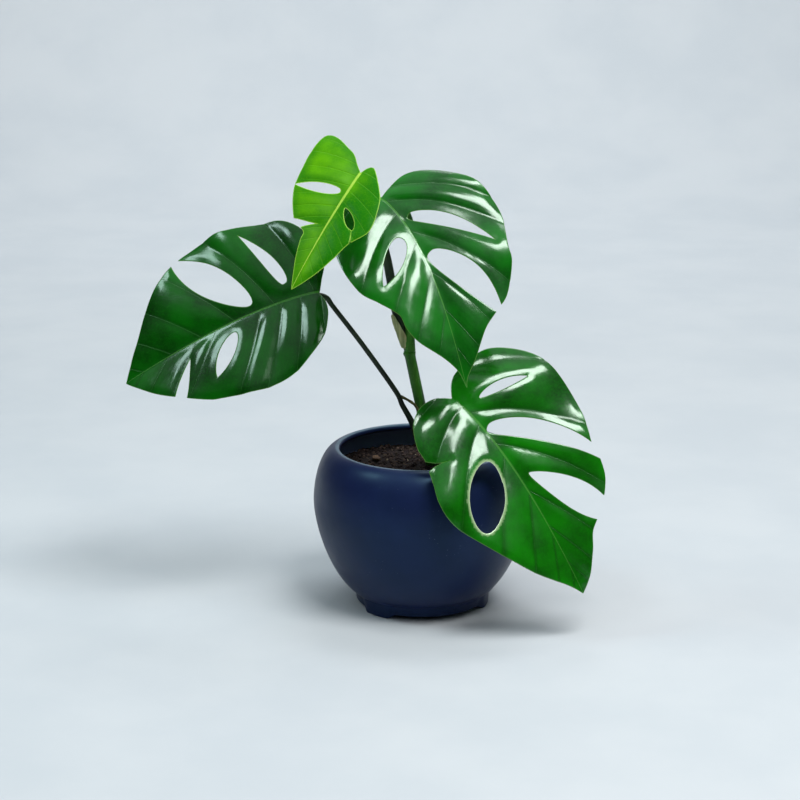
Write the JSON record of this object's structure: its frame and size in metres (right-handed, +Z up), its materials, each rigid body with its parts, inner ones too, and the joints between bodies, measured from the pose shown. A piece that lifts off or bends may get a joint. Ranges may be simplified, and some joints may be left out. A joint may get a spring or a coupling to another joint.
{
  "type": "potted monstera plant",
  "caption": "Young split-leaf monstera with long arching petioles, standing in soil in a round glazed bowl pot with small feet.",
  "frame": {"origin": "under the middle of the whole plant's box, on the floor that the pot stands on; the pot's own axis is at x 0.0528, y 0.0115", "axes": "+Z up; the leaves face -Y, and the lower right leaf hangs towards +X"},
  "size_m": [0.4328, 0.223, 0.4442],
  "materials": {
    "navy_glaze": "satin",
    "potting_soil": "rough",
    "bark": "rough",
    "green_stalk": "satin",
    "dark_stalk": "satin",
    "fresh_leaf": "satin",
    "grown_leaf": "gloss",
    "straw": "matte",
    "root_skin": "matte"
  },
  "bodies": {
    "root": {"pot": "navy_glaze", "soil": "potting_soil", "main_stem": "green_stalk", "petiole_young": "dark_stalk", "petiole_upper": "green_stalk", "petiole_left": "dark_stalk", "petiole_lower": "green_stalk", "leaf_young": "fresh_leaf", "leaf_upper": "grown_leaf", "leaf_left": "grown_leaf", "leaf_lower": "grown_leaf", "dry_sheath": "straw", "aerial_root": "root_skin", "bark_chip_1": "bark", "bark_chip_2": "bark", "bark_chip_3": "bark", "bark_chip_4": "bark", "bark_chip_5": "bark"}
  },
  "joints": []
}
